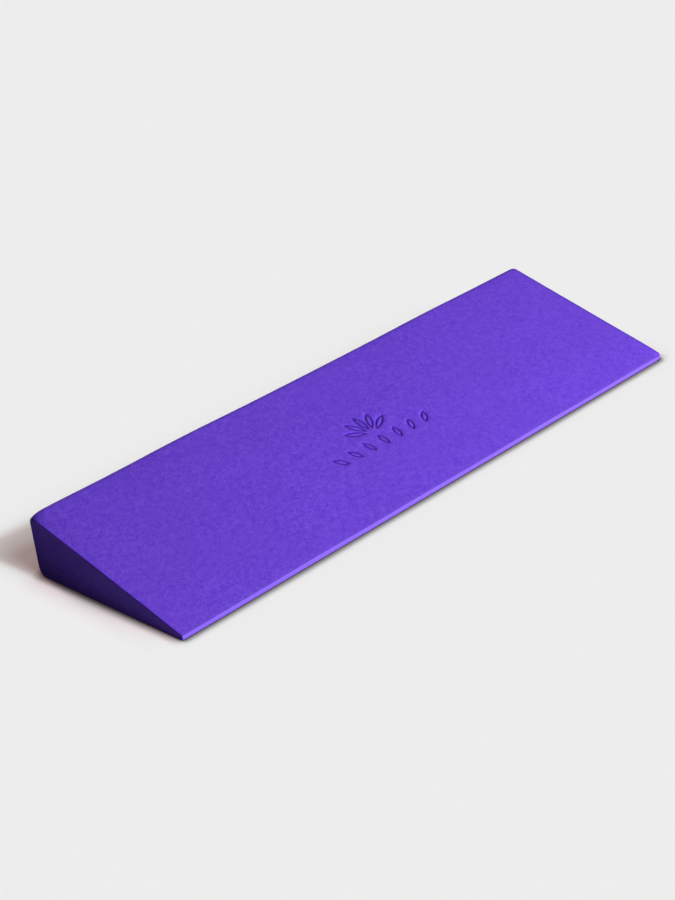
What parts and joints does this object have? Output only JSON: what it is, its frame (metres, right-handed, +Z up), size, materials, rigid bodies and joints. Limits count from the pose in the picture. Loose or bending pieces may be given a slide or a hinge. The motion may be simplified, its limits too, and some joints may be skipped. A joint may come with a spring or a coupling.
{
  "type": "yoga wedge",
  "caption": "Long closed-cell foam wedge block with a sloping top, a thin toe edge, a thick rounded heel and a pressed leaf pattern, used under heels or hands.",
  "frame": {"origin": "centre of the base, on the surface that the wedge rests on", "axes": "+X along the length; +Y from the thin toe edge to the thick heel; +Z up"},
  "size_m": [0.5, 0.15, 0.0462],
  "materials": {
    "eva_foam": "matt closed-cell EVA foam, purple, with a very fine skin grain"
  },
  "bodies": {
    "root": {"foam_wedge": "eva_foam"}
  },
  "joints": []
}
